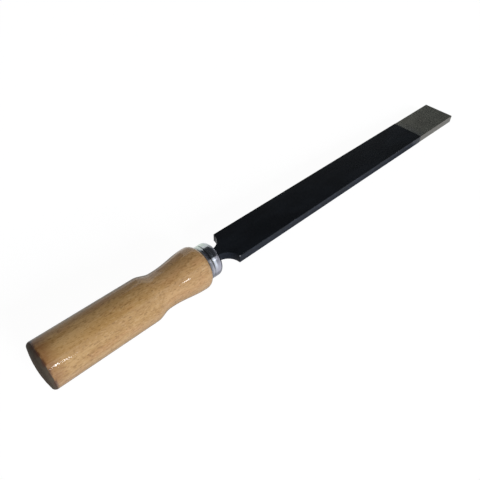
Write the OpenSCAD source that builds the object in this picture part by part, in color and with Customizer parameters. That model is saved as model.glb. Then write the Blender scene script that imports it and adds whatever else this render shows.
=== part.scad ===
// Engineer's flat hand scraper: a tanged steel blade in a turned beech handle with a drawn ferrule.
// Millimetres. The origin is the middle of the cutting end, +X runs out of it along the tool's axis,
// and +Z is square to the blade's flat faces.

/* [Handle] */
// Length of the wood, from the middle of the butt to the ferrule
handle_len = 104.5; // [90:0.5:140]
// Diameter of the straight grip
grip_d = 28; // [24:0.5:34]
// Smallest diameter, at the waist
waist_d = 23.4; // [20:0.2:24]
// Diameter of the swelling behind the ferrule
bulb_d = 28; // [24:0.5:32]
// Length of the short curve from the grip down to the waist
notch_len = 10; // [6:0.5:16]
// Length of the waist where it runs straight
waist_len = 2; // [1:0.5:8]
// Length of the long curve from the waist up to the swelling
flare_len = 23.5; // [16:0.5:32]
// Radius of the rounding from the swelling in to the ferrule
nose_r = 5.5; // [3.5:0.25:8]
// Radius of the dome of the butt
butt_dome_r = 55; // [40:1:90]
// Radius of the edge between the dome and the grip
butt_edge_r = 2.5; // [1:0.25:5]

/* [Ferrule] */
// Outer diameter of the ferrule
ferrule_d = 22; // [20:0.25:23.5]
// Length of the ferrule
ferrule_len = 9.5; // [8:0.25:14]
// Thickness of its sheet
ferrule_wall = 1; // [0.6:0.1:1.5]
// Radius that its sheet is drawn over at the front, measured outside
ferrule_edge_r = 3.5; // [2:0.25:4.5]

/* [Blade] */
// Length of the blade that stands out of the ferrule
blade_len = 250; // [150:1:350]
// Width of the blade
blade_w = 25; // [20:0.5:30]
// Thickness of the blade
blade_t = 6; // [4:0.25:7]
// Width of the easing along the blade's long edges
blade_edge = 0.3; // [0.1:0.1:1]
// Length of the bare ground end
ground_len = 46; // [20:1:60]
// Depth ground off each face of the bare end
ground_depth = 0.1; // [0.05:0.05:0.25]

/* [Neck and tang] */
// Width of the neck between the hollow shoulders
neck_w = 6.5; // [5:0.25:7]
// Straight length of the neck in front of the ferrule
neck_len = 1.4; // [0.5:0.1:5]
// Length of the tang, from the front of the ferrule to its end in the wood
tang_len = 76; // [50:1:85]
// Width of the tang at its end
tang_end_w = 3; // [2:0.25:5]
// Thickness of the tang at its end
tang_end_t = 2.5; // [1.5:0.25:4]

/* [Fits] */
// Clearance round the tang in its socket
socket_clearance = 0.05; // [0.02:0.01:0.2]
// Depth of the socket beyond the end of the tang
socket_spare = 2; // [0.5:0.5:6]
// Clearance between the ferrule and the wood that it is pressed on
ferrule_clearance = 0.05; // [0.02:0.01:0.1]
// Clearance between the corners of the neck and the round hole in the ferrule
neck_clearance = 0.6; // [0.2:0.1:1.5]

/* [Hidden] */
curve_steps = 24;
edge_steps = 10;
beech = "#c69c62";
zinc = "#c3c7cf";
black_lacquer = "#16181c";
bare_steel = "#77776f";

// Places along the axis, from the cutting end back to the butt
neck_end_x = -blade_len;
shoulder_x = neck_end_x + neck_len;
ground_x = -ground_len;
tang_end_x = neck_end_x - tang_len;
ferrule_front_x = neck_end_x;
ferrule_back_x = ferrule_front_x - ferrule_len;
wood_front_x = ferrule_back_x;
butt_x = wood_front_x - handle_len;

// The hollow shoulders are quarter circles from the blade's edges in to the neck
shoulder_r = (blade_w - neck_w) / 2;

// Joined stretches of the blade run this far into each other
lap = neck_len / 2;

// The butt is a dome that runs smoothly into an edge rounding and then the grip
grip_r = grip_d / 2;
waist_r = waist_d / 2;
bulb_r = bulb_d / 2;
dome_back = sqrt(pow(butt_dome_r - butt_edge_r, 2) - pow(grip_r - butt_edge_r, 2));
dome_depth = butt_dome_r - dome_back;
dome_angle = atan2(grip_r - butt_edge_r, dome_back);

// The nose is an arc that leaves the swelling level and ends on the ferrule's outer edge
ferrule_r = ferrule_d / 2;
nose_drop = bulb_r - ferrule_r;
nose_arc_r = max(nose_r, nose_drop);
nose_angle = acos((nose_arc_r - nose_drop) / nose_arc_r);
nose_len = nose_arc_r * sin(nose_angle);

// The grip takes up what the other stretches leave of the handle
bulb_x = wood_front_x - nose_len;
waist_front_x = bulb_x - flare_len;
waist_back_x = waist_front_x - waist_len;
grip_front_x = waist_back_x - notch_len;
grip_back_x = butt_x + dome_depth;

// Inside of the ferrule, and the spigot that fills it
ferrule_bore_r = ferrule_r - ferrule_wall;
ferrule_bore_edge_r = ferrule_edge_r - ferrule_wall;
ferrule_hole_r = norm([neck_w, blade_t]) / 2 + neck_clearance;
spigot_r = ferrule_bore_r - ferrule_clearance;
spigot_front_x = ferrule_front_x - ferrule_wall - ferrule_clearance;

// Points of an arc, as [along, out] pairs, from one angle to the other
function arc(along, out, r, from, to, steps) =
    [for (i = [0 : steps]) let (a = from + (to - from) * i / steps) [along + r * cos(a), out + r * sin(a)]];

// Points of a smooth rise or fall between two radii, level at both ends
function ease(x_from, r_from, x_to, r_to, steps) =
    [for (i = [1 : steps]) let (u = i / steps)
        [x_from + (x_to - x_from) * u, r_from + (r_to - r_from) * (1 - cos(180 * u)) / 2]];

// A list of points from last to first
function reverse(points) = [for (i = [len(points) - 1 : -1 : 0]) points[i]];

// Turns [along, out] points about the X axis
module turned(points) {
    rotate([0, 90, 0])
        rotate_extrude($fn = 96)
            polygon([for (p = points) [p[1], p[0]]]);
}

// Half the outline of the tang, lapped into the neck, as the corners of one side from its end forward
function tang_side(end_x, end_half, neck_half, side) =
    [[end_x, side * end_half], [neck_end_x, side * neck_half], [neck_end_x + lap, side * neck_half]];

// The tang's whole outline, down one side and back up the other
function tang_outline(end_x, end_half, neck_half) =
    concat(tang_side(end_x, end_half, neck_half, -1), reverse(tang_side(end_x, end_half, neck_half, 1)));

// The four-sided taper of the tang, grown all round by a clearance and lengthened at its end
module tang_form(grow, longer) {
    w_slope = (neck_w - tang_end_w) / tang_len;
    t_slope = (blade_t - tang_end_t) / tang_len;
    end_w = tang_end_w / 2 - w_slope * longer / 2 + grow;
    end_t = tang_end_t / 2 - t_slope * longer / 2 + grow;
    end_x = tang_end_x - longer;
    intersection() {
        translate([0, 0, -blade_t])
            linear_extrude(height = 2 * blade_t)
                polygon(tang_outline(end_x, end_w, neck_w / 2 + grow));
        translate([0, blade_w, 0])
            rotate([90, 0, 0])
                linear_extrude(height = 2 * blade_w)
                    polygon(tang_outline(end_x, end_t, blade_t / 2 + grow));
    }
}

// Outline of the bar from above: straight edges, hollow shoulders and the straight neck
module bar_outline() {
    difference() {
        translate([shoulder_x, -blade_w / 2])
            square([-shoulder_x, blade_w]);
        for (side = [-1, 1])
            translate([shoulder_x, side * blade_w / 2])
                circle(r = shoulder_r, $fn = 96);
    }
    translate([neck_end_x, -neck_w / 2])
        square([neck_len, neck_w]);
}

// Section of the bar with its long edges eased
module bar_section() {
    half_w = blade_w / 2;
    half_t = blade_t / 2;
    polygon([
        [-half_t, -half_w + blade_edge], [-half_t + blade_edge, -half_w],
        [half_t - blade_edge, -half_w], [half_t, -half_w + blade_edge],
        [half_t, half_w - blade_edge], [half_t - blade_edge, half_w],
        [-half_t + blade_edge, half_w], [-half_t, half_w - blade_edge]]);
}

// The whole bar in front of the tang, before its end is ground
module bar() {
    intersection() {
        translate([0, 0, -blade_t / 2])
            linear_extrude(height = blade_t)
                bar_outline();
        rotate([0, -90, 0])
            linear_extrude(height = blade_len)
                bar_section();
    }
}

// A box along the bar, from one place to another, less a depth off each of its four faces
module stretch(from, to, depth) {
    w = blade_w - 2 * depth;
    t = blade_t - 2 * depth;
    translate([from, -w / 2, -t / 2])
        cube([to - from, w, t]);
}

// Beech handle: butt, grip, waist, swelling and nose in one turned profile, with the spigot in front
module handle() {
    spigot_front_r = spigot_r - ferrule_bore_edge_r;
    spigot_edge_x = spigot_front_x - ferrule_bore_edge_r;
    profile = concat(
        arc(butt_x + butt_dome_r, 0, butt_dome_r, 180, 180 - dome_angle, edge_steps),
        arc(grip_back_x, grip_r - butt_edge_r, butt_edge_r, 180 - dome_angle, 90, edge_steps),
        [[grip_front_x, grip_r]],
        ease(grip_front_x, grip_r, waist_back_x, waist_r, curve_steps),
        [[waist_front_x, waist_r]],
        ease(waist_front_x, waist_r, bulb_x, bulb_r, curve_steps),
        arc(bulb_x, bulb_r - nose_arc_r, nose_arc_r, 90, 90 - nose_angle, edge_steps),
        [[wood_front_x, spigot_r]],
        arc(spigot_edge_x, spigot_front_r, ferrule_bore_edge_r, 90, 0, edge_steps),
        [[spigot_front_x, 0]]);
    color(beech)
        difference() {
            turned(profile);
            tang_form(socket_clearance, socket_spare);
        }
}

// Drawn ferrule: a cup with a rounded front edge and a round hole for the neck
module ferrule() {
    front_r = ferrule_r - ferrule_edge_r;
    edge_x = ferrule_front_x - ferrule_edge_r;
    profile = concat(
        [[ferrule_back_x, ferrule_bore_r], [ferrule_back_x, ferrule_r]],
        arc(edge_x, front_r, ferrule_edge_r, 90, 0, edge_steps),
        [[ferrule_front_x, ferrule_hole_r], [ferrule_front_x - ferrule_wall, ferrule_hole_r]],
        arc(edge_x, front_r, ferrule_bore_edge_r, 0, 90, edge_steps));
    color(zinc)
        turned(profile);
}

// Blade: ground bar, hollow shoulders, neck and tapered tang in one piece of steel
module blade() {
    color(black_lacquer)
        union() {
            intersection() {
                bar();
                stretch(neck_end_x, ground_x, 0);
            }
            tang_form(0, 0);
        }
    color(bare_steel)
        intersection() {
            bar();
            stretch(ground_x - lap, 0, ground_depth);
        }
}

handle();
ferrule();
blade();
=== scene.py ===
"""The looks of an engineer's flat hand scraper: beech handle, drawn ferrule and black steel blade.

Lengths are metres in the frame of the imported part. The origin is the middle of the cutting end,
+X runs out of it along the tool's axis, and +Z is square to the blade's flat faces.
"""

import logging
import math
from dataclasses import dataclass
from enum import Enum
from typing import Any, Sequence, Union

import bmesh
import bpy
from mathutils import Matrix, Quaternion, Vector

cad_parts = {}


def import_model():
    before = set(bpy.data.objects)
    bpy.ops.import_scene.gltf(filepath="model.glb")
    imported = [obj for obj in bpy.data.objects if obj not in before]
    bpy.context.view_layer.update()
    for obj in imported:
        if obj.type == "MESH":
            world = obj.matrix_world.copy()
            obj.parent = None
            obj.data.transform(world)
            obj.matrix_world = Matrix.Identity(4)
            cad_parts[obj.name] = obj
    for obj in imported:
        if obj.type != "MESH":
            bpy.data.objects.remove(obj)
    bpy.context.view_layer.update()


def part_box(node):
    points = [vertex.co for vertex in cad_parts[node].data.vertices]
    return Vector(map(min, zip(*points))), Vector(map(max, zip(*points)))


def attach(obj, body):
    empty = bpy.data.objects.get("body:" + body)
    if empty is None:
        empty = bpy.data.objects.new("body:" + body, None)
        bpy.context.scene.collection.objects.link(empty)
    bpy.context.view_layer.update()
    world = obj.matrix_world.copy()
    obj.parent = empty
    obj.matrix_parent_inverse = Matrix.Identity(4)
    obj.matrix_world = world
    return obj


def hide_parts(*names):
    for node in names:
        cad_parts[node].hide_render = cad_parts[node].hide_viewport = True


LOG = logging.getLogger("scraper")
MM = 0.001
WELD = 0.001 * MM
Span = tuple[float, float]
Triple = tuple[float, float, float]
Colour = tuple[float, float, float, float]
Weights = tuple[float, ...]
WHITE: Colour = (1.0, 1.0, 1.0, 1.0)
# The middle value of a cloudy pattern
MIDDLE = 0.5


class Body(Enum):
    """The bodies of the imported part."""

    ROOT = "root"


class Slot(Enum):
    """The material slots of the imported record."""

    BEECH = "beech"
    ZINC = "zinc_plate"
    LACQUER = "black_lacquered_steel"


class Sum(Enum):
    """The operations of a Math node that the finishes use."""

    ADD = "ADD"
    SUBTRACT = "SUBTRACT"
    MULTIPLY = "MULTIPLY"
    DIVIDE = "DIVIDE"
    POWER = "POWER"
    ABSOLUTE = "ABSOLUTE"
    FRACTION = "FRACT"
    MAXIMUM = "MAXIMUM"
    ARCTAN2 = "ARCTAN2"


class VectorSum(Enum):
    """The operations of a Vector Math node that the finishes use."""

    ADD = "ADD"
    SUBTRACT = "SUBTRACT"
    SCALE = "SCALE"
    NORMALIZE = "NORMALIZE"


class Ray(Enum):
    """The kinds of light ray that show the background, as a Light Path node names them."""

    CAMERA = "Is Camera Ray"
    GLOSSY = "Is Glossy Ray"
    THROUGH = "Is Transmission Ray"


class Axis(Enum):
    """The three axes, by their places in a vector."""

    X = 0
    Y = 1
    Z = 2


def colour(code: str) -> Colour:
    """Turns a written colour into the linear one that a shader takes.

    Args:
        code: six hexadecimal digits, as a screen shows the colour.

    Returns:
        Red, green, blue and an alpha of 1.
    """
    toe, slope, lift, power = 0.04045, 12.92, 0.055, 2.4
    shown = [int(code[i : i + 2], 16) / 255 for i in (0, 2, 4)]
    linear = [v / slope if v <= toe else ((v + lift) / (1 + lift)) ** power for v in shown]
    return (*linear, 1.0)


@dataclass(frozen=True)
class Step:
    """A smooth change between two values, as a signal goes from a start to an end."""

    start: float
    end: float
    before: float = 0.0
    after: float = 1.0


class Signal:
    """A number that varies over a surface, held as the output socket of a shader node."""

    def __init__(self, bench: "Bench", socket: bpy.types.NodeSocket) -> None:
        """Wraps a socket of the bench's tree."""
        self.bench = bench
        self.socket = socket

    def __add__(self, other: "Number") -> "Signal":
        """Gives this signal plus another value."""
        return self.bench.sum(Sum.ADD, self, other)

    def __sub__(self, other: "Number") -> "Signal":
        """Gives this signal less another value."""
        return self.bench.sum(Sum.SUBTRACT, self, other)

    def __rsub__(self, other: "Number") -> "Signal":
        """Gives another value less this signal."""
        return self.bench.sum(Sum.SUBTRACT, other, self)

    def __mul__(self, other: "Number") -> "Signal":
        """Gives this signal times another value."""
        return self.bench.sum(Sum.MULTIPLY, self, other)

    def __truediv__(self, other: "Number") -> "Signal":
        """Gives this signal over another value."""
        return self.bench.sum(Sum.DIVIDE, self, other)

    def __pow__(self, other: "Number") -> "Signal":
        """Gives this signal raised to a power."""
        return self.bench.sum(Sum.POWER, self, other)

    def __abs__(self) -> "Signal":
        """Gives the size of this signal without its sign."""
        return self.bench.sum(Sum.ABSOLUTE, self)

    __radd__ = __add__
    __rmul__ = __mul__

    def rise(self, step: Step) -> "Signal":
        """Gives a smooth step in this signal.

        Args:
            step: where it starts and ends, and its values there. The end may lie below the start.

        Returns:
            The step, held level before its start and after its end.
        """
        settings = {"interpolation_type": "SMOOTHSTEP", "clamp": True}
        limits = {"From Min": step.start, "From Max": step.end, "To Min": step.before, "To Max": step.after}
        node = self.bench.node("ShaderNodeMapRange", settings, {"Value": self, **limits})
        return Signal(self.bench, node.outputs[0])


Number = Union[float, Signal]
Paint = Union[Colour, bpy.types.NodeSocket]
Place = tuple[Signal, Signal, Signal]


class Bench:
    """Lays shader nodes into one tree, for a material or for the world."""

    def __init__(self, tree: bpy.types.NodeTree) -> None:
        """Empties the tree that the nodes go into."""
        self.tree = tree
        tree.nodes.clear()

    def node(
        self,
        kind: str,
        settings: dict[str, Any] | None = None,
        sockets: dict[Union[str, int], Any] | None = None,
    ) -> bpy.types.Node:
        """Adds a node.

        Args:
            kind: the type of the node.
            settings: properties of the node, which are set first.
            sockets: a number, a tuple, a signal or another node's output for each input socket.

        Returns:
            The node.
        """
        made = self.tree.nodes.new(kind)
        for name, value in (settings or {}).items():
            setattr(made, name, value)
        for name, value in (sockets or {}).items():
            source = value.socket if isinstance(value, Signal) else value
            if isinstance(source, bpy.types.NodeSocket):
                self.tree.links.new(source, made.inputs[name])
            else:
                made.inputs[name].default_value = source
        return made

    def sum(self, operation: Sum, first: Number, second: Number | None = None) -> Signal:
        """Works one Math node on numbers and signals.

        Args:
            operation: what the node does.
            first: its first value.
            second: its second value, where the operation takes one.

        Returns:
            The result.
        """
        values = {0: first} if second is None else {0: first, 1: second}
        return Signal(self, self.node("ShaderNodeMath", {"operation": operation.value}, values).outputs[0])

    def place(self) -> bpy.types.NodeSocket:
        """Gives the place on the part, as its own coordinates in metres."""
        return self.node("ShaderNodeTexCoord").outputs["Object"]

    def parts(self, vector: bpy.types.NodeSocket) -> Place:
        """Takes a vector apart into its three numbers."""
        split = self.node("ShaderNodeSeparateXYZ", None, {0: vector})
        return tuple(Signal(self, out) for out in split.outputs)

    def vector(self, x: Number, y: Number, z: Number) -> bpy.types.NodeSocket:
        """Puts three numbers together as a vector."""
        return self.node("ShaderNodeCombineXYZ", None, {0: x, 1: y, 2: z}).outputs[0]

    def turned(self, vector: bpy.types.NodeSocket, degrees: Sequence[float]) -> bpy.types.NodeSocket:
        """Turns a vector about the three axes, by angles in degrees."""
        angles = tuple(math.radians(d) for d in degrees)
        return self.node("ShaderNodeMapping", None, {"Vector": vector, "Rotation": angles}).outputs[0]

    def noise(self, cell: Sequence[Number], detail: float) -> Signal:
        """Gives a cloudy pattern between 0 and 1.

        Args:
            cell: three coordinates, counted in sizes of one cloud.
            detail: how many finer layers the pattern has.

        Returns:
            The pattern.
        """
        sockets = {"Vector": self.vector(*cell), "Scale": 1.0, "Detail": detail}
        return Signal(self, self.node("ShaderNodeTexNoise", None, sockets).outputs[0])

    def specks(self, place: Place, apart: float) -> Signal:
        """Gives the distance to the nearest of many scattered points, counted in how far apart they are."""
        sockets = {"Vector": self.vector(*(part / apart for part in place)), "Scale": 1.0}
        return Signal(self, self.node("ShaderNodeTexVoronoi", None, sockets).outputs["Distance"])

    def coats(self, first: Paint, *coats: tuple[Number, Paint]) -> Paint:
        """Lays colours over one another.

        Args:
            first: the lowest colour.
            coats: how much of each further colour shows, from 0 to 1, and the colour.

        Returns:
            The colour that shows.
        """
        settings = {"data_type": "RGBA", "clamp_factor": True}
        for amount, over in coats:
            first = self.node("ShaderNodeMix", settings, {"Factor": amount, 6: first, 7: over}).outputs[2]
        return first

    def weigh(self, weights: Sequence[float], *patterns: Signal) -> Signal:
        """Adds patterns to a plain value.

        Args:
            weights: the plain value, and then the weight of each pattern.
            patterns: the patterns.

        Returns:
            The total.
        """
        total: Number = weights[0]
        for weight, pattern in zip(weights[1:], patterns):
            total = pattern * weight + total
        return total

    def relief(self, height: Signal, depth: float) -> bpy.types.NodeSocket:
        """Raises a surface a little by a pattern, by a depth in metres where the pattern is 1."""
        sockets = {"Height": height, "Distance": depth, "Strength": 1.0}
        return self.node("ShaderNodeBump", None, sockets).outputs[0]

    def facets(
        self, normal: bpy.types.NodeSocket, cell: Sequence[Number], amount: Number
    ) -> bpy.types.NodeSocket:
        """Tips a surface this way and that in tiny facets, which break a highlight into sparks.

        Args:
            normal: the direction that the surface faces.
            cell: three coordinates, counted in sizes of one facet.
            amount: how far the facets are tipped.

        Returns:
            The new direction.
        """
        sockets = {"Vector": self.vector(*cell), "Scale": 1.0, "Detail": 0.0}
        pattern = self.node("ShaderNodeTexNoise", None, sockets).outputs["Color"]
        level = self.vector_sum(VectorSum.SUBTRACT, {0: pattern, 1: (MIDDLE, MIDDLE, MIDDLE)})
        tip = self.vector_sum(VectorSum.SCALE, {0: level, "Scale": amount})
        tipped = self.vector_sum(VectorSum.ADD, {0: normal, 1: tip})
        return self.vector_sum(VectorSum.NORMALIZE, {0: tipped})

    def vector_sum(self, operation: VectorSum, sockets: dict[Union[str, int], Any]) -> bpy.types.NodeSocket:
        """Works one Vector Math node on these inputs."""
        return self.node("ShaderNodeVectorMath", {"operation": operation.value}, sockets).outputs[0]

    def path(self, kind: Ray) -> Signal:
        """Gives 1 for light rays of a kind, and 0 for others."""
        return Signal(self, self.node("ShaderNodeLightPath").outputs[kind.value])

    def blend(self, amount: Signal, under: bpy.types.Node, over: bpy.types.Node) -> bpy.types.Node:
        """Mixes two shaders, with so much of the upper one."""
        return self.node("ShaderNodeMixShader", None, {0: amount, 1: under.outputs[0], 2: over.outputs[0]})

    def show(self, shader: bpy.types.Node, output: str = "ShaderNodeOutputMaterial") -> None:
        """Ends the tree with a shader."""
        self.node(output, None, {"Surface": shader.outputs[0]})

    def surface(self, sockets: dict[str, Any]) -> None:
        """Ends a material with one surface shader that has these inputs."""
        self.show(self.node("ShaderNodeBsdfPrincipled", None, sockets))


@dataclass(frozen=True)
class Cloud:
    """A cloudy pattern: the size of one cloud along and across the tool in millimetres, and its finer layers.

    The step picks the clouds out of it where the pattern is a mask.
    """

    along: float
    across: float
    detail: float
    step: Step = Step(0.0, 1.0)

    def lay(self, place: Place) -> Signal:
        """Lays the pattern over the tool.

        Args:
            place: the place on the tool, in metres.

        Returns:
            The pattern, between 0 and 1.
        """
        x, y, z = place
        across = self.across * MM
        return x.bench.noise((x / (self.along * MM), y / across, z / across), self.detail)

    def mask(self, place: Place) -> Signal:
        """Lays the pattern over the tool and gives its step."""
        return self.lay(place).rise(self.step)


class Finish:
    """A finish, which lays its shader into a new material.

    In a row of weights, the first is a plain value and each of the others is what one pattern adds to it.
    """

    name: str

    def material(self) -> bpy.types.Material:
        """Makes the material of this finish.

        Returns:
            The material.
        """
        made = bpy.data.materials.new(self.name)
        made.use_nodes = True
        self.lay(Bench(made.node_tree))
        return made

    def lay(self, bench: Bench) -> None:
        """Lays the nodes of this finish on the bench."""
        raise NotImplementedError


@dataclass(frozen=True)
class LacqueredBeech(Finish):
    """Flat-sawn beech under clear lacquer, with growth rings, rays, flecks, and darker end grain with painted
    shade on the dome.
    """

    butt_edge_x: float
    name: str = "lacquered_beech"
    pale: Colour = colour("C8A26C")
    tan: Colour = colour("B99159")
    rosy: Colour = colour("BB8859")
    late: Colour = colour("A37A47")
    fleck: Colour = colour("7C5730")
    silver: Colour = colour("D2B180")
    # end grain: the dome's own darker end grain, greyed and darkened further as painted shade; rim: painted
    # shade on the edge rounding
    end_grain_and_shade: Colour = colour("6B5F50")
    rim: Colour = colour("50483C")
    # scorch: dark reddish patches on the dome, and a band at its edge that is also painted shade, stronger on
    # top
    scorch_and_shade: Colour = colour("472A20")
    stain: Colour = colour("8E5F3A")
    peach: Colour = colour("D3A87A")
    tilt: Triple = (0.0, 1.4, 2.2)
    pith_y: float = 38 * MM
    pith_z: float = -58 * MM
    wander: Cloud = Cloud(70, 18, 2)
    wander_y: float = 5 * MM
    wander_z: float = 3 * MM
    ring_width: float = 2.6 * MM
    late_start: Step = Step(0.45, 0.95, after=0.25)
    late_end: Step = Step(1.0, 0.96)
    stripes: Cloud = Cloud(26, 3.4, 3, Step(0.30, 0.70))
    blush: Cloud = Cloud(16, 6, 2, Step(0.50, 0.70, after=0.40))
    fibre: Cloud = Cloud(4, 0.35, 2)
    grain: Cloud = Cloud(2.4, 0.8, 3, Step(0.50, 0.72, after=0.50))
    crowd: Cloud = Cloud(9, 4, 1)
    crowding: float = 0.12
    ray_detail: float = 1
    ray_size: Triple = (2.0 * MM, 7 * MM, 0.45 * MM)
    ray: Step = Step(0.56, 0.70)
    ray_cover: float = 0.38
    ray_shine: Step = Step(0.42, 0.30, after=0.45)
    dash_size: Triple = (2.8 * MM, 7 * MM, 0.585 * MM)
    dash: Step = Step(0.64, 0.74, after=0.47)
    peach_x: Step = Step(-305 * MM, -280 * MM, after=0.32)
    patch: Cloud = Cloud(3, 4, 3)
    ragged: float = 0.6 * MM
    end: Step = Step(0.3 * MM, -0.3 * MM)
    end_patch: Step = Step(0.35, 0.65, after=0.3)
    rim_shade: Step = Step(-3.2 * MM, -2.0 * MM)
    band: Step = Step(1.4 * MM, 0.2 * MM)
    band_patch: Step = Step(0.38, 0.60)
    band_top_shade_z: Step = Step(-4 * MM, 10 * MM, 0.45, 0.75)
    stain_x: Step = Step(11 * MM, 1 * MM)
    stain_z: Step = Step(4 * MM, 13 * MM, after=0.55)
    stain_patch: Step = Step(0.45, 0.65, after=0.18)
    swell: Cloud = Cloud(30, 2.4, 0)
    facet: float = 0.32 * MM
    tipped: Cloud = Cloud(0.5, 0.4, 0, Step(0.56, 0.70, after=0.05))
    roughness: Weights = (0.02, 0.05, 0.7)
    height: Weights = (0.0, 0.35, 0.03, -0.01)
    relief: float = 0.09 * MM
    gloss: float = 0.45

    def lay(self, bench: Bench) -> None:
        """Lays growth rings round a pith outside the handle, cut by rays that run out from it.

        Args:
            bench: the bench of the new material.
        """
        place = bench.parts(bench.turned(bench.place(), self.tilt))
        x, y, z = place
        wander = self.wander.lay(place) - MIDDLE
        across = y - self.pith_y + wander * self.wander_y
        up = z - self.pith_z + wander * self.wander_z
        radius = (across * across + up * up) ** 0.5
        around = bench.sum(Sum.ARCTAN2, up, across) * math.hypot(self.pith_y, self.pith_z)

        growth = bench.sum(Sum.FRACTION, radius / self.ring_width)
        grain = self.grain.lay(place)
        rays, dashes = (
            bench.noise((x / long, radius / deep, around / thick), self.ray_detail)
            for long, deep, thick in (self.ray_size, self.dash_size)
        )
        rays = rays + (self.crowd.lay(place) - MIDDLE) * self.crowding
        ray = rays.rise(self.ray)
        wood = bench.coats(
            self.pale,
            (self.stripes.mask(place), self.tan),
            (self.blush.mask(place), self.rosy),
            (x.rise(self.peach_x), self.peach),
            (growth.rise(self.late_start) * growth.rise(self.late_end), self.late),
            (rays.rise(self.ray_shine), self.silver),
            (grain.rise(self.grain.step), self.late),
            (ray * self.ray_cover, self.fleck),
            (dashes.rise(self.dash), self.fleck),
        )

        patch = self.patch.lay(place)
        ahead = bench.parts(bench.place())[0] + (patch - MIDDLE) * self.ragged - self.butt_edge_x
        end = ahead.rise(self.end)
        # The dome: end grain with painted shade, and painted shade on the edge rounding next to the grip
        butt = bench.coats(
            self.end_grain_and_shade, (ahead.rise(self.rim_shade), self.rim), (patch.rise(self.end_patch), self.scorch_and_shade)
        )
        stain = (x - self.butt_edge_x).rise(self.stain_x)
        # A dark band round the dome's edge, stronger on top: scorch and painted shade
        band = abs(ahead).rise(self.band) * patch.rise(self.band_patch)
        wood = bench.coats(
            wood,
            (stain * (z.rise(self.stain_z) + patch.rise(self.stain_patch)), self.stain),
            (end, butt),
            (band * z.rise(self.band_top_shade_z), self.scorch_and_shade),
        )

        height = bench.weigh(self.height, self.swell.lay(place), grain, ray)
        facets = (x / self.facet, y / self.facet, z / self.facet)
        bench.surface(
            {
                "Base Color": wood,
                "Roughness": bench.weigh(self.roughness, self.fibre.lay(place), end),
                "Specular IOR Level": self.gloss,
                "Normal": bench.facets(bench.relief(height, self.relief), facets, self.tipped.mask(place)),
            }
        )


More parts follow.
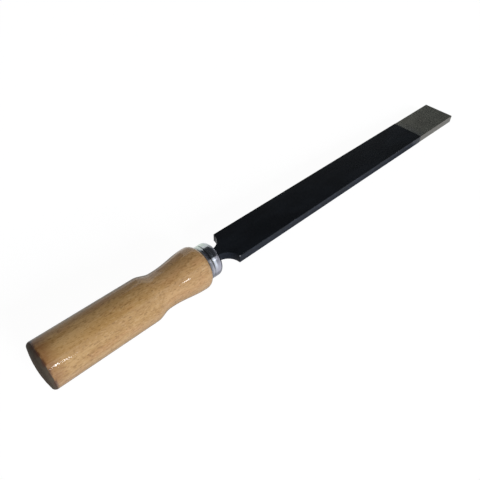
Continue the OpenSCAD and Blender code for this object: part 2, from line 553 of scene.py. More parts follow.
@dataclass(frozen=True)
class ZincPlate(Finish):
    """Bright zinc on drawn sheet steel, unevenly tinted, with a dull film by the wood, and painted light and
    shade.
    """

    back_x: float
    front_x: float
    radius: float
    groove_depth: float
    name: str = "zinc_plated_steel"
    bright: Colour = colour("C2C7C8")
    # The green on the far side and the lilac on the near side and front are partly the plate's tints, partly
    # painted reflections
    green: Colour = colour("B0BFB4")
    lilac: Colour = colour("A0A0B0")
    film: Colour = colour("3C4036")
    # painted shade: a darker patch on the near upper side
    painted_shade_patch: Colour = colour("5A5C66")
    # painted highlight: a lighter patch in front of the groove, on the near upper side
    painted_highlight: Colour = colour("DFE8F4")
    line_fine: float = 0.18 * MM
    line_long: float = 9 * MM
    line_detail: float = 2
    clouds: Cloud = Cloud(2.6, 3.1, 3, Step(0.30, 0.55))
    grime: Cloud = Cloud(0.8, 0.9, 2)
    far_y: Step = Step(-3 * MM, 5 * MM)
    cool_front: Step = Step(-4.2 * MM, -2.6 * MM, after=0.6)
    cool_clouds: Weights = (0.45, 0.6)
    dusk_y: Step = Step(-5 * MM, -8.5 * MM, after=0.5)
    dusk_z: Step = Step(3 * MM, 7 * MM)
    gleam_x: float = 4.1 * MM
    gleam_reach: Step = Step(1.2 * MM, 0.3 * MM)
    gleam_y: Step = Step(-4 * MM, -6 * MM)
    gleam_z: Step = Step(1 * MM, 6 * MM)
    gleam_clouds: Weights = (0.55, 0.5)
    film_x: Step = Step(1.6 * MM, 0.2 * MM)
    film_y: Step = Step(-3 * MM, 5 * MM, 1.0, 0.4)
    film_grime: Step = Step(0.35, 0.65, 0.45, 1.0)
    film_cover: float = 0.85
    # painted shade: the film colour laid on the near side of the back bead
    bead_shade_x: Step = Step(1.6 * MM, 1.2 * MM, after=0.28)
    bead_shade_y: Step = Step(-3 * MM, -6 * MM)
    sunk: Step = Step(0.3, 1.0)
    outside: Step = Step(2.0, 1.2)
    behind: Step = Step(-5 * MM, -6 * MM)
    # dirt and painted shade in the groove, stronger on top and on the near side
    dirt_and_shade_y: Step = Step(-3 * MM, 5 * MM, 1.0, 0.3)
    dirt_and_shade_z: Step = Step(1 * MM, 6 * MM, 0.45, 0.95)
    dirt_and_shade_grime: Step = Step(0.30, 0.60, 0.5, 1.0)
    metal: Weights = (1.0, -0.5)
    roughness: Weights = (0.10, 0.08, 0.04, 0.25)
    height: Weights = (0.0, 0.3, 3.0)
    relief: float = 0.0025 * MM

    def lay(self, bench: Bench) -> None:
        """Lays the passivated plate's tints, partly painted reflections, a painted highlight and painted
        shade, drawing lines round it, the film and the groove's dirt and painted shade.

        Args:
            bench: the bench of the new material.
        """
        place = bench.parts(bench.place())
        x, y, z = place
        ahead, behind = x - self.back_x, x - self.front_x
        around = bench.sum(Sum.ARCTAN2, z, y) * self.radius
        reach = (y * y + z * z) ** 0.5
        sink = (self.radius - reach) / self.groove_depth
        line = (x / self.line_fine, reach / self.line_fine, around / self.line_long)
        lines = bench.noise(line, self.line_detail)
        clouds = self.clouds.lay(place)
        grime = self.grime.lay(place)
        far = y.rise(self.far_y)

        # Lilac on the front rounding and the near side, green on the far side: partly the plate's tints,
        # partly painted reflections
        lilac_and_reflection = bench.sum(Sum.MAXIMUM, behind.rise(self.cool_front), 1.0 - far)
        # A painted highlight: a lighter patch just in front of the groove, on the near upper side
        painted_highlight = abs(ahead - self.gleam_x).rise(self.gleam_reach) * y.rise(self.gleam_y) * z.rise(self.gleam_z)
        film = ahead.rise(self.film_x) * grime.rise(self.film_grime) * y.rise(self.film_y)
        # Painted shade on the near side of the bead behind the groove, in the film colour
        bead = ahead.rise(self.bead_shade_x) * y.rise(self.bead_shade_y)
        # The groove is darkened as dirt and as painted shade in the hollow, stronger on top and on the near
        # side
        groove = sink.rise(self.sunk) * sink.rise(self.outside) * behind.rise(self.behind)
        groove_dirt_and_shade = groove * grime.rise(self.dirt_and_shade_grime) * y.rise(self.dirt_and_shade_y) * z.rise(self.dirt_and_shade_z)
        plate = bench.coats(
            self.bright,
            (far * clouds.rise(self.clouds.step), self.green),
            (lilac_and_reflection * bench.weigh(self.cool_clouds, clouds), self.lilac),
            # Painted shade: a darker patch on the near upper side of the plate
            (y.rise(self.dusk_y) * z.rise(self.dusk_z), self.painted_shade_patch),
            (painted_highlight * bench.weigh(self.gleam_clouds, clouds), self.painted_highlight),
            # The film colour here also paints shade on the bead and, below, in the groove
            (bench.sum(Sum.MAXIMUM, film * self.film_cover, bead), self.film),
            (groove_dirt_and_shade, self.film),
        )
        bench.surface(
            {
                "Base Color": plate,
                "Metallic": bench.weigh(self.metal, film),
                "Roughness": bench.weigh(self.roughness, clouds, lines, film),
                "Normal": bench.relief(bench.weigh(self.height, lines, clouds), self.relief),
            }
        )


@dataclass(frozen=True)
class BlackLacquer(Finish):
    """Thin black lacquer over rolled steel, rubbed through in places along the arrises."""

    half_width: float
    half_thickness: float
    shoulder_x: float
    name: str = "black_lacquer"
    coat: Colour = colour("13161A")
    haze: Colour = colour("1D2228")
    rolled: Colour = colour("151D2A")
    dust: Colour = colour("3E434C")
    bare: Colour = colour("C6C9CC")
    side: Step = Step(0.12 * MM, 0.35 * MM)
    rub: Step = Step(0.55 * MM, 0.1 * MM)
    chips: Cloud = Cloud(1.4, 0.5, 3, Step(0.60, 0.72, after=0.35))
    corner: Step = Step(0.9 * MM, 0.4 * MM, after=1.5)
    peel: Cloud = Cloud(0.9, 0.9, 2)
    cloud: Cloud = Cloud(26, 9, 3, Step(0.40, 0.72, after=0.5))
    scale: Cloud = Cloud(3.2, 1.1, 4, Step(0.46, 0.66, 0.4, 1.0))
    scale_dust: Step = Step(0.56, 0.68, after=0.38)
    dust_apart: float = 1.7 * MM
    dust_size: Step = Step(0.09, 0.04)
    dust_cover: float = 0.30
    wear_cover: float = 0.8
    roughness: Weights = (0.20, 0.08, 0.16, 0.3, 0.1)
    height: Weights = (0.0, 0.8, 0.9, 0.6)
    relief: float = 0.008 * MM
    gloss: float = 0.13

    def lay(self, bench: Bench) -> None:
        """Lays the lacquer, its scale-marked sides and the worn arrises.

        Args:
            bench: the bench of the new material.
        """
        place = bench.parts(bench.place())
        x, y, z = place
        below_face = self.half_thickness - abs(z)
        inside = self.half_width - abs(y)
        side = below_face.rise(self.side)
        corner = abs(x - self.shoulder_x).rise(self.corner)
        chips = bench.sum(Sum.MAXIMUM, self.chips.mask(place), corner)
        wear = inside.rise(self.rub) * below_face.rise(self.rub) * chips
        cloud = self.cloud.lay(place)
        scale = self.scale.lay(place)
        dust = bench.specks(place, self.dust_apart).rise(self.dust_size)
        skin = bench.coats(
            self.coat,
            (cloud.rise(self.cloud.step), self.haze),
            (side * scale.rise(self.scale.step), self.rolled),
            (side * scale.rise(self.scale_dust), self.dust),
            (dust * self.dust_cover, self.dust),
            (wear * self.wear_cover, self.bare),
        )
        height = bench.weigh(self.height, self.peel.lay(place), side * scale, dust)
        bench.surface(
            {
                "Base Color": skin,
                "Metallic": wear * self.wear_cover,
                "Roughness": bench.weigh(self.roughness, cloud, side, dust, wear),
                "Specular IOR Level": self.gloss,
                "Normal": bench.relief(height, self.relief),
            }
        )


@dataclass(frozen=True)
class GroundSteel(Finish):
    """Bare surface-ground steel, its lines straight across the blade, with darker rolled sides."""

    edge_x: float
    half_width: float
    name: str = "ground_steel"
    steel: Colour = colour("A5A499")
    dull: Colour = colour("8A887E")
    tint: Colour = colour("84888E")
    rolled: Colour = colour("595752")
    spot: Colour = colour("6A5C4A")
    lines: Cloud = Cloud(0.14, 14, 3, Step(0.45, 0.75, after=0.25))
    passes: Cloud = Cloud(3.2, 30, 2)
    cloud: Cloud = Cloud(11, 8, 3, Step(0.38, 0.68, after=0.6))
    tint_x: Step = Step(9 * MM, 0.0, after=0.5)
    tint_cloud: Step = Step(0.35, 0.60)
    side: Step = Step(0.45 * MM, 0.2 * MM)
    grit: Cloud = Cloud(0.7, 0.5, 2)
    side_grit: Weights = (0.75, 0.4)
    rust_apart: float = 2.3 * MM
    rust_size: Step = Step(0.10, 0.03)
    rust_cover: float = 0.4
    metal: Weights = (1.0, -0.4)
    roughness: Weights = (0.19, 0.05, 0.06, 0.14, 0.2)
    height: Weights = (0.0, 0.5, 0.8)
    relief: float = 0.005 * MM

    def lay(self, bench: Bench) -> None:
        """Lays the grinding lines, a cooler tint by the lacquer and a few spots of rust.

        Args:
            bench: the bench of the new material.
        """
        place = bench.parts(bench.place())
        x, y, _ = place
        lines = self.lines.lay(place)
        cloud = self.cloud.lay(place)
        side = (self.half_width - abs(y)).rise(self.side)
        rust = bench.specks(place, self.rust_apart).rise(self.rust_size)
        metal = bench.coats(
            self.steel,
            (cloud.rise(self.cloud.step), self.dull),
            (lines.rise(self.lines.step), self.dull),
            ((x - self.edge_x).rise(self.tint_x) * cloud.rise(self.tint_cloud), self.tint),
            (side * bench.weigh(self.side_grit, self.grit.lay(place)), self.rolled),
            (rust * self.rust_cover, self.spot),
        )
        bench.surface(
            {
                "Base Color": metal,
                "Metallic": bench.weigh(self.metal, rust),
                "Roughness": bench.weigh(self.roughness, lines, cloud, side, rust),
                "Normal": bench.relief(bench.weigh(self.height, lines, self.passes.lay(place)), self.relief),
            }
        )


class Plane(Enum):
    """The plane that an outline is drawn in, as its second axis."""

    ACROSS = Axis.Y.value
    UP = Axis.Z.value


class Outline:
    """A chain of edges drawn along X and out from it, which an operator then makes solid."""

    degrees_per_step: float = 5.0
    fewest_steps: int = 2

    def __init__(self, mesh: bmesh.types.BMesh, plane: Plane, along: float, out: float) -> None:
        """Starts the chain at one point.

        Args:
            mesh: the mesh that receives the chain.
            plane: the plane that it is drawn in.
            along: the first point's place along X.
            out: its distance from the X axis.
        """
        self.mesh = mesh
        self.plane = plane
        self.tip = mesh.verts.new(self._point(along, out))

    def _point(self, along: float, out: float) -> Vector:
        """Gives a point of the outline's plane in space.

        Args:
            along: its place along X.
            out: its distance from the X axis.

        Returns:
            The point.
        """
        point = Vector((along, 0.0, 0.0))
        point[self.plane.value] = out
        return point

    def line(self, along: float, out: float) -> "Outline":
        """Draws a straight edge.

        Args:
            along: the end's place along X.
            out: its distance from the X axis.

        Returns:
            The outline.
        """
        grown = bmesh.ops.extrude_vert_indiv(self.mesh, verts=[self.tip])
        self.tip = grown["verts"][0]
        self.tip.co = self._point(along, out)
        return self

    def level(self, along: float, brace: float) -> "Outline":
        """Draws a level edge between two short ones, which keep the bends beside it out of its shading.

        Args:
            along: the end's place along X.
            brace: the length of each short edge.

        Returns:
            The outline.
        """
        start, out = self.tip.co.x, self.tip.co[self.plane.value]
        ahead = math.copysign(brace, along - start)
        return self.line(start + ahead, out).line(along - ahead, out).line(along, out)

    def arc(self, along: float, out: float, degrees: float) -> "Outline":
        """Draws an arc about a centre.

        Args:
            along: the centre's place along X.
            out: its distance from the X axis.
            degrees: the angle to turn through, positive from the second axis towards X.

        Returns:
            The outline.
        """
        centre = self._point(along, out)
        axis = Vector((1.0, 0.0, 0.0)).cross(self._point(0.0, 1.0)) * -1.0
        steps = max(self.fewest_steps, round(abs(degrees) / self.degrees_per_step))
        swept = bmesh.ops.spin(
            self.mesh, geom=[self.tip], cent=centre, axis=axis, angle=math.radians(degrees), steps=steps
        )
        self.tip = next(g for g in swept["geom_last"] if isinstance(g, bmesh.types.BMVert))
        return self

    def ease(self, along: float, out: float, steps: int) -> "Outline":
        """Draws a smooth rise or fall, level at both ends.

        Args:
            along: the end's place along X.
            out: its distance from the X axis.
            steps: how many edges it has.

        Returns:
            The outline.
        """
        start, axis = self.tip, self.plane.value
        start_along, start_out = start.co.x, start.co[axis]
        self.line(along, out)
        end = self.tip.co.copy()
        edge = self.mesh.edges.get((start, self.tip))
        cut = bmesh.ops.bisect_edges(self.mesh, edges=[edge], cuts=steps - 1)
        for vert in (g for g in cut["geom_split"] if isinstance(g, bmesh.types.BMVert)):
            share = (vert.co.x - start_along) / (along - start_along)
            vert.co[axis] = start_out + (out - start_out) * (1 - math.cos(math.pi * share)) / 2
        # The cut renews every vertex, so the tip is found again by its place
        self.tip = min(self.mesh.verts, key=lambda vert: (vert.co - end).length)
        return self


class Assembly:
    """A sub-assembly, which builds its mesh and dresses it."""

    node: str
    slot: Slot

    def shape(self, mesh: bmesh.types.BMesh) -> None:
        """Builds the piece in an empty mesh."""
        raise NotImplementedError

    def finishes(self) -> list[Finish]:
        """Gives the finishes of the piece, in the order of its faces' numbers."""
        raise NotImplementedError

    def build(self) -> bpy.types.Object:
        """Makes the piece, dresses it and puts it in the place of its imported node.

        Returns:
            The piece.
        """
        mesh = bmesh.new()
        self.shape(mesh)
        data = bpy.data.meshes.new(f"{self.node}_piece")
        mesh.to_mesh(data)
        mesh.free()
        piece = bpy.data.objects.new(f"{self.node}_piece", data)
        bpy.context.scene.collection.objects.link(piece)
        for finish in self.finishes():
            data.materials.append(finish.material())
        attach(piece, Body.ROOT.value)
        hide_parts(self.node)
        return piece


def turn_solid(mesh: bmesh.types.BMesh, segments: int) -> None:
    """Turns every edge of a mesh round the X axis and closes the seam and the poles.

    Args:
        mesh: the mesh, which holds one outline.
        segments: how many faces go round.
    """
    outline = mesh.verts[:] + mesh.edges[:]
    bmesh.ops.spin(
        mesh, geom=outline, cent=(0, 0, 0), axis=(1, 0, 0), angle=math.tau, steps=segments, use_merge=True
    )
    bmesh.ops.remove_doubles(mesh, verts=mesh.verts[:], dist=WELD)


def unit_square(mesh: bmesh.types.BMesh, parts: int) -> list[bmesh.types.BMVert]:
    """Lays a level square with sides of 1, in so many parts each way, and gives its vertices."""
    return bmesh.ops.create_grid(mesh, x_segments=parts, y_segments=parts, size=0.5)["verts"]


def shade(mesh: bmesh.types.BMesh, crease: float, flat: float = 0.5) -> None:
    """Points the faces outwards and shades them smoothly but for the creases.

    Args:
        mesh: the finished mesh.
        crease: the least angle of a crease, in degrees.
        flat: how near to an axis, in degrees, a face points where it is shaded flat.
    """
    bmesh.ops.recalc_face_normals(mesh, faces=mesh.faces[:])
    for face in mesh.faces:
        face.smooth = max(abs(n) for n in face.normal) < math.cos(math.radians(flat))
    for edge in mesh.edges:
        edge.smooth = len(edge.link_faces) == 2 and edge.calc_face_angle() < math.radians(crease)


@dataclass
class Handle(Assembly):
    """The turned beech handle: dome, grip, waist, swelling and nose, with its spigot and socket."""

    butt_x: float
    grip_radius: float
    front_x: float
    spigot_x: float
    tang_end_x: float
    node: str = "handle"
    slot: Slot = Slot.BEECH
    waist_radius: float = 11.7 * MM
    bulb_radius: float = 14 * MM
    notch: float = 10 * MM
    waist: float = 2 * MM
    flare: float = 23.5 * MM
    nose_radius: float = 5.5 * MM
    nose_end_radius: float = 11 * MM
    dome_radius: float = 55 * MM
    edge_radius: float = 2.5 * MM
    spigot_radius: float = 9.95 * MM
    spigot_edge: float = 2.5 * MM
    brace: float = 0.5 * MM
    mouth_radius: float = 6 * MM
    socket_front: Span = (6.55 * MM, 6.05 * MM)
    socket_end: Span = (3.0 * MM, 2.5 * MM)
    socket_spare: float = 2 * MM
    curve_steps: int = 28
    segments: int = 144
    crease: float = 34.0

    @classmethod
    def from_frame(cls) -> "Handle":
        """Takes the handle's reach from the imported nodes."""
        low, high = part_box("handle")
        return cls(low.x, high.z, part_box("ferrule")[0].x, high.x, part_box("blade")[0].x)

    @property
    def dome_back(self) -> float:
        """The distance from the dome's centre to the centre of the edge rounding."""
        run = self.dome_radius - self.edge_radius
        return math.sqrt(run**2 - (self.grip_radius - self.edge_radius) ** 2)

    @property
    def grip_back_x(self) -> float:
        """The place where the straight grip starts."""
        return self.butt_x + self.dome_radius - self.dome_back

    def shape(self, mesh: bmesh.types.BMesh) -> None:
        """Draws the profile from the butt to the spigot's face, turns it and sinks the socket.

        Args:
            mesh: the empty mesh that receives the piece.
        """
        dome_angle = math.degrees(math.atan2(self.grip_radius - self.edge_radius, self.dome_back))
        nose_drop = self.bulb_radius - self.nose_end_radius
        nose_angle = math.acos((self.nose_radius - nose_drop) / self.nose_radius)
        bulb_x = self.front_x - self.nose_radius * math.sin(nose_angle)
        waist_front_x = bulb_x - self.flare
        waist_back_x = waist_front_x - self.waist
        spigot_edge_x = self.spigot_x - self.spigot_edge

        profile = Outline(mesh, Plane.UP, self.butt_x, 0.0)
        profile.arc(self.butt_x + self.dome_radius, 0.0, dome_angle)
        profile.arc(self.grip_back_x, self.grip_radius - self.edge_radius, 90 - dome_angle)
        profile.level(waist_back_x - self.notch, self.brace)
        profile.ease(waist_back_x, self.waist_radius, self.curve_steps)
        profile.line(waist_front_x, self.waist_radius)
        profile.ease(bulb_x, self.bulb_radius, self.curve_steps)
        profile.arc(bulb_x, self.bulb_radius - self.nose_radius, math.degrees(nose_angle))
        profile.line(self.front_x, self.spigot_radius)
        profile.line(spigot_edge_x, self.spigot_radius)
        profile.arc(spigot_edge_x, self.spigot_radius - self.spigot_edge, 90)
        profile.line(self.spigot_x, self.mouth_radius)
        turn_solid(mesh, self.segments)
        self._sink_socket(mesh)
        shade(mesh, self.crease)

    def _sink_socket(self, mesh: bmesh.types.BMesh) -> None:
        """Closes the spigot's face round a tapered, four-sided socket for the tang.

        Args:
            mesh: the mesh of the turned handle.
        """
        rim = [e for e in mesh.edges if e.is_boundary]
        square = unit_square(mesh, 1)
        bmesh.ops.transform(mesh, matrix=Matrix.Rotation(math.radians(90), 4, "Y"), verts=square)
        bmesh.ops.scale(mesh, vec=(1, *self.socket_front), verts=square)
        bmesh.ops.translate(mesh, vec=(self.spigot_x, 0, 0), verts=square)
        mouth = square[0].link_faces[0]
        bmesh.ops.bridge_loops(mesh, edges=rim + mouth.edges[:])
        bottom = bmesh.ops.extrude_discrete_faces(mesh, faces=[mouth])["faces"][0]
        depth = self.spigot_x - self.tang_end_x + self.socket_spare
        taper = [end / front for end, front in zip(self.socket_end, self.socket_front)]
        bmesh.ops.scale(mesh, vec=(1, *taper), verts=bottom.verts[:])
        bmesh.ops.translate(mesh, vec=(-depth, 0, 0), verts=bottom.verts[:])

    def finishes(self) -> list[Finish]:
        """Gives lacquered beech, darker on the butt."""
        return [LacqueredBeech(butt_edge_x=self.grip_back_x)]


@dataclass
class Ferrule(Assembly):
    """The drawn ferrule: a short tube, rounded in at the front to a round hole for the neck."""

    back_x: float
    front_x: float
    radius: float
    node: str = "ferrule"
    slot: Slot = Slot.ZINC
    wall: float = 1 * MM
    front_edge: float = 3.5 * MM
    back_edge: float = 0.3 * MM
    bead: float = 1.5 * MM
    groove_fall: float = 1.2 * MM
    groove_rise: float = 0.7 * MM
    groove_depth: float = 0.15 * MM
    groove_steps: int = 7
    brace: float = 0.2 * MM
    hole_radius: float = 5.02 * MM
    segments: int = 128
    crease: float = 34.0

    @classmethod
    def from_frame(cls) -> "Ferrule":
        """Takes the ferrule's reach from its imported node."""
        low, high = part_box("ferrule")
        return cls(low.x, high.x, high.z)

    def shape(self, mesh: bmesh.types.BMesh) -> None:
        """Draws the section of the sheet, outside and back along the inside, and turns it.

        Args:
            mesh: the empty mesh that receives the piece.
        """
        bore = self.radius - self.wall
        front_radius = self.radius - self.front_edge
        edge_x = self.front_x - self.front_edge
        sheet = Outline(mesh, Plane.UP, self.back_x, bore)
        sheet.line(self.back_x, self.radius - self.back_edge)
        sheet.arc(self.back_x + self.back_edge, self.radius - self.back_edge, 90)
        sheet.level(self.back_x + self.bead, self.brace)
        groove_x = self.back_x + self.bead + self.groove_fall
        sheet.ease(groove_x, self.radius - self.groove_depth, self.groove_steps)
        sheet.ease(groove_x + self.groove_rise, self.radius, self.groove_steps)
        sheet.level(edge_x, self.brace)
        sheet.arc(edge_x, front_radius, 90)
        sheet.line(self.front_x, self.hole_radius)
        sheet.line(self.front_x - self.wall, self.hole_radius)
        sheet.line(self.front_x - self.wall, front_radius)
        sheet.arc(edge_x, front_radius, -90)
        sheet.line(self.back_x, bore)
        turn_solid(mesh, self.segments)
        shade(mesh, self.crease)

    def finishes(self) -> list[Finish]:
        """Gives zinc plate with a film of lacquer by the wood."""
        return [ZincPlate(self.back_x, self.front_x, self.radius, self.groove_depth)]


@dataclass
class Blade(Assembly):
    """The blade in one piece of steel: ground end, flat bar, hollow shoulders, neck and tang."""

    half_width: float
    half_thickness: float
    neck_end_x: float
    tang_end_x: float
    node: str = "blade"
    slot: Slot = Slot.LACQUER
    neck_half: float = 3.25 * MM
    neck_len: float = 1.4 * MM
    tang_half_width: float = 1.5 * MM
    tang_half_thickness: float = 1.25 * MM
    ground_x: float = -46 * MM
    ground_step: float = 0.1 * MM
    corner_round: float = 0.25 * MM
    corner_segments: int = 2
    edge_round: float = 0.3 * MM
    edge_segments: int = 3
    sharp: float = 45.0
    crease: float = 40.0

    @classmethod
    def from_frame(cls) -> "Blade":
        """Takes the blade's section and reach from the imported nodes."""
        low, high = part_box("blade")
        return cls(high.y, high.z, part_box("ferrule")[1].x, low.x)

    def shape(self, mesh: bmesh.types.BMesh) -> None:
        """Draws half the plan, mirrors and thickens it, then tapers, rounds and grinds it.

        Args:
            mesh: the empty mesh that receives the piece.
        """
        self._thicken_plan(mesh)
        self._taper_tang(mesh)
        self._round_edges(mesh)
        self._grind_end(mesh)
        shade(mesh, self.crease)
        for face in mesh.faces:
            face.material_index = int(face.calc_center_median().x > self.ground_x)

    def _thicken_plan(self, mesh: bmesh.types.BMesh) -> None:
        """Makes the plan of the blade and gives it the bar's thickness.

        Args:
            mesh: the empty mesh that receives the piece.
        """
        shoulder_x = self.neck_end_x + self.neck_len
        shoulder_radius = self.half_width - self.neck_half
        plan = Outline(mesh, Plane.ACROSS, 0.0, 0.0)
        plan.line(0.0, self.half_width)
        plan.line(shoulder_x + shoulder_radius, self.half_width)
        plan.arc(shoulder_x, self.half_width, 90)
        plan.line(self.neck_end_x, self.neck_half)
        plan.line(self.tang_end_x, self.tang_half_width)
        plan.line(self.tang_end_x, 0.0)
        whole = mesh.verts[:] + mesh.edges[:]
        bmesh.ops.mirror(mesh, geom=whole, axis="Y", merge_dist=WELD)
        bmesh.ops.remove_doubles(mesh, verts=mesh.verts[:], dist=WELD)
        lower = bmesh.ops.contextual_create(mesh, geom=mesh.edges[:])["faces"]
        bmesh.ops.translate(mesh, vec=(0, 0, -self.half_thickness), verts=mesh.verts[:])
        raised = bmesh.ops.extrude_face_region(mesh, geom=lower, use_keep_orig=True)["geom"]
        upper = [g for g in raised if isinstance(g, bmesh.types.BMVert)]
        bmesh.ops.translate(mesh, vec=(0, 0, 2 * self.half_thickness), verts=upper)
        bmesh.ops.recalc_face_normals(mesh, faces=mesh.faces[:])

    def _cut(self, mesh: bmesh.types.BMesh, x: float) -> None:
        """Cuts every face across at a place along X, and keeps both sides."""
        whole = mesh.verts[:] + mesh.edges[:] + mesh.faces[:]
        bmesh.ops.bisect_plane(mesh, geom=whole, dist=WELD, plane_co=(x, 0, 0), plane_no=(1, 0, 0))

    def _taper_tang(self, mesh: bmesh.types.BMesh) -> None:
        """Thins the tang towards its end.

        Args:
            mesh: the mesh of the blade.
        """
        self._cut(mesh, self.neck_end_x)
        end = [v for v in mesh.verts if v.co.x < self.tang_end_x + WELD]
        thinner = self.tang_half_thickness / self.half_thickness
        bmesh.ops.scale(mesh, vec=(1, 1, thinner), verts=end)

    def _round_edges(self, mesh: bmesh.types.BMesh) -> None:
        """Rounds the shoulder corners, then the edges of both faces.

        Args:
            mesh: the mesh of the blade.
        """
        corners = [e for e in mesh.edges if self._is_shoulder_corner(e)]
        self._bevel(mesh, corners, self.corner_round, self.corner_segments)
        rims = [e for e in mesh.edges if self._is_rim(e)]
        self._bevel(mesh, rims, self.edge_round, self.edge_segments)

    @staticmethod
    def _bevel(mesh: bmesh.types.BMesh, edges: list[bmesh.types.BMEdge], width: float, segments: int) -> None:
        """Rounds edges.

        Args:
            mesh: the mesh of the blade.
            edges: the edges.
            width: how far the rounding reaches to each side.
            segments: how many faces it has across.
        """
        bmesh.ops.bevel(
            mesh,
            geom=edges,
            offset=width,
            offset_type="OFFSET",
            affect="EDGES",
            segments=segments,
            profile=0.5,
            material=-1,
            clamp_overlap=True,
        )

    def _is_shoulder_corner(self, edge: bmesh.types.BMEdge) -> bool:
        """Tells whether an edge is one of the upright corners where a long side meets a shoulder.

        Args:
            edge: the edge.

        Returns:
            Whether it is.
        """
        upright = abs(edge.verts[0].co.z - edge.verts[1].co.z) > self.half_thickness
        place = edge.verts[0].co
        outer = abs(abs(place.y) - self.half_width) < WELD
        return upright and outer and place.x < self.ground_x

    def _is_rim(self, edge: bmesh.types.BMEdge) -> bool:
        """Tells whether an edge runs round a flat face, in front of the tang.

        Args:
            edge: the edge.

        Returns:
            Whether it does.
        """
        level = all(abs(abs(v.co.z) - self.half_thickness) < WELD for v in edge.verts)
        ahead = all(v.co.x > self.neck_end_x - WELD for v in edge.verts)
        turned = edge.calc_face_angle(0) > math.radians(self.sharp)
        at_end = all(v.co.x > -WELD for v in edge.verts)
        return level and ahead and turned and not at_end

    def _grind_end(self, mesh: bmesh.types.BMesh) -> None:
        """Takes a little off the faces and edges of the bare end.

        Args:
            mesh: the mesh of the blade.
        """
        self._cut(mesh, self.ground_x)
        self._cut(mesh, self.ground_x + self.ground_step)
        ground = [v for v in mesh.verts if v.co.x > self.ground_x + self.ground_step / 2]
        narrower = 1 - self.ground_step / self.half_width
        thinner = 1 - self.ground_step / self.half_thickness
        bmesh.ops.scale(mesh, vec=(1, narrower, thinner), verts=ground)

    def finishes(self) -> list[Finish]:
        """Gives black lacquer, and ground steel for the bare end.

        Returns:
            The two finishes.
        """
        shoulder_x = self.neck_end_x + self.neck_len + self.half_width - self.neck_half
        return [
            BlackLacquer(self.half_width, self.half_thickness, shoulder_x),
            GroundSteel(self.ground_x, self.half_width),
        ]


@dataclass(frozen=True)
class PaleFloor(Finish):
    """A pale table that takes the tool's shadow. It looks white, but gloss sees shadow painted round the
    tool.
    """

    name: str = "pale_floor"
    grey: Colour = (0.4, 0.4, 0.4, 1.0)
    white: Colour = WHITE
    # shaded: the painted shadow that gloss sees round the tool
    shaded: Colour = (0.06, 0.06, 0.07, 1.0)
    glow: float = 1.07
    mirrored_glow: float = 1.5
    mirrored_share: float = 0.6
    camera_share: float = 0.9
    # haze: a bluish tint of the painted shadow, further behind the tool
    haze: Colour = (0.30, 0.40, 0.46, 1.0)
    shading: float = 0.92
    handle_x: Step = Step(-248 * MM, -258 * MM)
    handle_front: Step = Step(-15 * MM, -7 * MM)
    handle_back: Step = Step(2500 * MM, 100 * MM)
    blade_x: Step = Step(-44 * MM, -50 * MM)
    blade_side: Step = Step(22 * MM, 15 * MM)
    neck_x: Step = Step(-232 * MM, -242 * MM, 1.0, 0.6)
    painted_shadow_tint_y: Step = Step(15 * MM, 70 * MM)

    def lay(self, bench: Bench) -> None:
        """Lays grey paper for bounced light, and white paper with a glow where it is seen, with shadow
        painted round the tool for gloss.

        Args:
            bench: the bench of the new material.
        """
        camera = bench.path(Ray.CAMERA)
        x, y, _ = bench.parts(bench.place())
        # A painted shadow beside and behind the handle and beside the blade, seen only by gloss
        by_handle = y.rise(self.handle_front) * y.rise(self.handle_back) * x.rise(self.handle_x)
        by_blade = abs(y).rise(self.blade_side) * x.rise(self.blade_x) * x.rise(self.neck_x)
        beside = bench.sum(Sum.MAXIMUM, by_handle, by_blade) * self.shading
        shaded = bench.coats(self.shaded, (y.rise(self.painted_shadow_tint_y), self.haze))
        mirrored = bench.coats(self.white, (beside * (1.0 - camera), shaded))
        grey = bench.node("ShaderNodeBsdfDiffuse", None, {"Color": self.grey})
        white = bench.node("ShaderNodeBsdfDiffuse", None, {"Color": mirrored})
        strength = camera * (self.glow - self.mirrored_glow) + self.mirrored_glow
        glow = bench.node("ShaderNodeEmission", None, {"Color": mirrored, "Strength": strength})
        share = camera * (self.camera_share - self.mirrored_share) + self.mirrored_share
        seen = bench.blend(share, white, glow)
        bench.show(bench.blend(seen_as_background(bench), grey, seen))


@dataclass(frozen=True)
class DimPanel(Finish):
    """A dim panel round the table, which the gloss of the tool mirrors."""

    name: str
    axis: Axis
    change: Step
    near: Colour
    far: Colour

    def lay(self, bench: Bench) -> None:
        """Lets the panel glow a little, with a change along one axis.

        Args:
            bench: the bench of the new material.
        """
        change = bench.parts(bench.place())[self.axis.value].rise(self.change)
        glow = bench.coats(self.near, (change, self.far))
        bench.show(bench.node("ShaderNodeEmission", None, {"Color": glow, "Strength": 1.0}))


def seen_as_background(bench: Bench) -> Signal:
    """Gives 1 for the rays that show the background: the camera's, and mirrored and bent ones."""
    camera, glossy, through = (bench.path(kind) for kind in Ray)
    return bench.sum(Sum.MAXIMUM, bench.sum(Sum.MAXIMUM, camera, glossy), through)


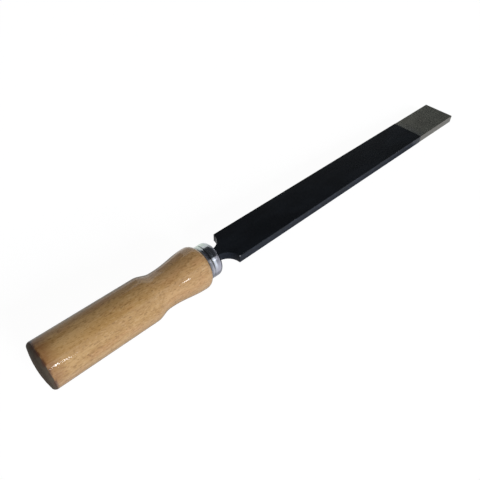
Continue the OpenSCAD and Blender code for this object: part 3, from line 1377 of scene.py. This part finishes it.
@dataclass(frozen=True)
class Lamp:
    """An area lamp that looks at the tool from a direction and a distance."""

    name: str
    azimuth: float
    elevation: float
    width: float
    height: float
    watts: float
    distance: float = 6.0
    mirrored: bool = True
    lights: bool = True
    tint: Triple = (1.0, 1.0, 1.0)

    def place(self, target: Vector) -> None:
        """Hangs the lamp.

        Args:
            target: the point that it faces.
        """
        data = bpy.data.lights.new(self.name, "AREA")
        data.shape = "RECTANGLE"
        data.size, data.size_y = self.width, self.height
        data.energy, data.color = self.watts, self.tint
        lamp = bpy.data.objects.new(self.name, data)
        bpy.context.scene.collection.objects.link(lamp)
        flat = math.cos(math.radians(self.elevation))
        turn = math.radians(self.azimuth)
        rise = math.sin(math.radians(self.elevation))
        outward = Vector((math.cos(turn) * flat, math.sin(turn) * flat, rise))
        lamp.location = target + outward * self.distance
        lamp.rotation_mode = "QUATERNION"
        lamp.rotation_quaternion = (-outward).to_track_quat("-Z", "Y")
        lamp.visible_glossy, lamp.visible_diffuse = self.mirrored, self.lights
        lamp.visible_camera = False


@dataclass(frozen=True)
class Studio:
    """The table, the ceiling, the lamps and the camera of the photograph."""

    camera_place: Triple = (-0.37013, -0.15616, 0.21448)
    camera_aim: Triple = (-0.22823, -0.00031, 0.0)
    camera_roll: float = 0.378
    lens: float = 35.776
    sensor: float = 36.0
    clip: Span = (0.01, 100.0)
    middle: Triple = (-0.2, 0.0, 0.0)
    tip_drop: float = 3 * MM
    bulb_x: float = -264.4 * MM
    bulb_drop: float = 14 * MM
    floor_size: float = 40.0
    ceiling_height: float = 1.2
    ceiling_low: Span = (-1.6, -1.1)
    ceiling_high: Span = (2.5, 1.2)
    end_reach: float = 2.6
    back_y: float = 1.8
    back_height: float = 1.9
    back_span: Span = (-3.0, 0.25)
    dark_panel: DimPanel = DimPanel(
        "dark_panel", Axis.X, Step(0.5, 1.9), (0.0552, 0.0588, 0.06, 1.0), (0.1196, 0.1274, 0.13, 1.0)
    )
    grey_panel: DimPanel = DimPanel(
        "grey_panel", Axis.Z, Step(0.3, 1.7), (0.47, 0.485, 0.50, 1.0), (0.2068, 0.2134, 0.22, 1.0)
    )
    ambient: float = 0.11
    ambient_colour: Colour = (1.0, 0.89, 0.72, 1.0)
    lamps: tuple[Lamp, ...] = (
        Lamp("soft_key", -86, 20, 1.9, 1.9, 318.0, mirrored=False, tint=(1.0, 1.02, 1.11)),
        Lamp("glint", -88.1, 27.0, 0.035, 0.9, 4.0),
        Lamp("second_glint", -86.8, 23.5, 0.05, 0.8, 2.6),
        Lamp("side_window", -63, 28, 1.2, 0.6, 3.0, lights=False),
        Lamp("fill", 95, 5, 3.0, 0.8, 100.0, mirrored=False, tint=(1.0, 0.90, 0.76)),
    )

    def set_up(self) -> None:
        """Builds the stage, and sets how colours are shown."""
        scene = bpy.context.scene
        scene.view_settings.view_transform = "Standard"
        self._lay_floor()
        self._hang_ceiling()
        self._surround(scene)
        for lamp in self.lamps:
            lamp.place(Vector(self.middle))
        self._aim_camera(scene)

    def _sheet(self, name: str, low: Span, high: Span, turn: Matrix) -> bpy.types.Object:
        """Makes a flat stage piece.

        Args:
            name: its name.
            low: its lowest X and Y.
            high: its highest X and Y.
            turn: the place that the flat sheet is then moved to.

        Returns:
            The piece, as part of the stage.
        """
        mesh = bmesh.new()
        sheet = unit_square(mesh, 2)
        bmesh.ops.scale(mesh, vec=(high[0] - low[0], high[1] - low[1], 1), verts=sheet)
        bmesh.ops.translate(mesh, vec=((low[0] + high[0]) / 2, (low[1] + high[1]) / 2, 0), verts=sheet)
        bmesh.ops.transform(mesh, matrix=turn, verts=sheet)
        data = bpy.data.meshes.new(name)
        mesh.to_mesh(data)
        mesh.free()
        made = bpy.data.objects.new(name, data)
        bpy.context.scene.collection.objects.link(made)
        return made

    def _lay_floor(self) -> None:
        """Lays the table against the two places where the tool rests on it."""
        slope = math.atan2(self.bulb_drop - self.tip_drop, -self.bulb_x)
        lie = Matrix.Translation((0, 0, -self.tip_drop)) @ Matrix.Rotation(-slope, 4, "Y")
        reach = self.floor_size / 2
        floor = self._sheet("floor", (-reach, -reach), (reach, reach), lie)
        floor.data.materials.append(PaleFloor().material())

    def _hang_ceiling(self) -> None:
        """Hangs the dim ceiling, a dim wall at the blade's end and a paler one behind the handle."""
        hang = Matrix.Translation((0, 0, self.ceiling_height))
        end = Matrix.Translation((self.ceiling_high[0], 0, 0)) @ Matrix.Rotation(math.radians(-90), 4, "Y")
        back = Matrix.Translation((0, self.back_y, 0)) @ Matrix.Rotation(math.radians(90), 4, "X")
        dark, grey = (panel.material() for panel in (self.dark_panel, self.grey_panel))
        low, high, up = self.ceiling_low, self.ceiling_high, self.ceiling_height
        for name, corners, turn, finish in (
            ("ceiling", (low, high), hang, dark),
            ("end_wall", ((0.0, low[1]), (up, self.end_reach)), end, dark),
            ("back_wall", ((self.back_span[0], 0.0), (self.back_span[1], self.back_height)), back, grey),
        ):
            panel = self._sheet(name, *corners, turn)
            panel.data.materials.append(finish)
            panel.visible_camera = panel.visible_shadow = False

    def _surround(self, scene: bpy.types.Scene) -> None:
        """Sets white surroundings that light the tool only dimly.

        Args:
            scene: the scene.
        """
        world = bpy.data.worlds.new("surroundings")
        world.use_nodes = True
        scene.world = world
        bench = Bench(world.node_tree)
        dim, white = (
            bench.node("ShaderNodeBackground", None, {"Color": shade, "Strength": strength})
            for shade, strength in ((self.ambient_colour, self.ambient), (WHITE, 1.0))
        )
        bench.show(bench.blend(seen_as_background(bench), dim, white), "ShaderNodeOutputWorld")

    def _aim_camera(self, scene: bpy.types.Scene) -> None:
        """Places the camera where the photograph was taken from.

        Args:
            scene: the scene.
        """
        data = bpy.data.cameras.new("camera")
        data.lens, data.sensor_width = self.lens, self.sensor
        data.clip_start, data.clip_end = self.clip
        camera = bpy.data.objects.new("camera", data)
        scene.collection.objects.link(camera)
        look = Vector(self.camera_aim) - Vector(self.camera_place)
        camera.location = self.camera_place
        camera.rotation_mode = "QUATERNION"
        roll = Quaternion((0, 0, 1), math.radians(self.camera_roll))
        camera.rotation_quaternion = look.to_track_quat("-Z", "Y") @ roll
        scene.camera = camera


def main() -> None:
    """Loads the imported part, sets up the studio and builds the three pieces round the frame."""
    logging.basicConfig(level=logging.INFO, format="%(name)s: %(message)s")
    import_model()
    Studio().set_up()
    for assembly in (Handle.from_frame(), Ferrule.from_frame(), Blade.from_frame()):
        piece = assembly.build()
        LOG.info("%s: %d faces", piece.name, len(piece.data.polygons))
    bpy.context.view_layer.update()


if __name__ == "__main__":
    main()
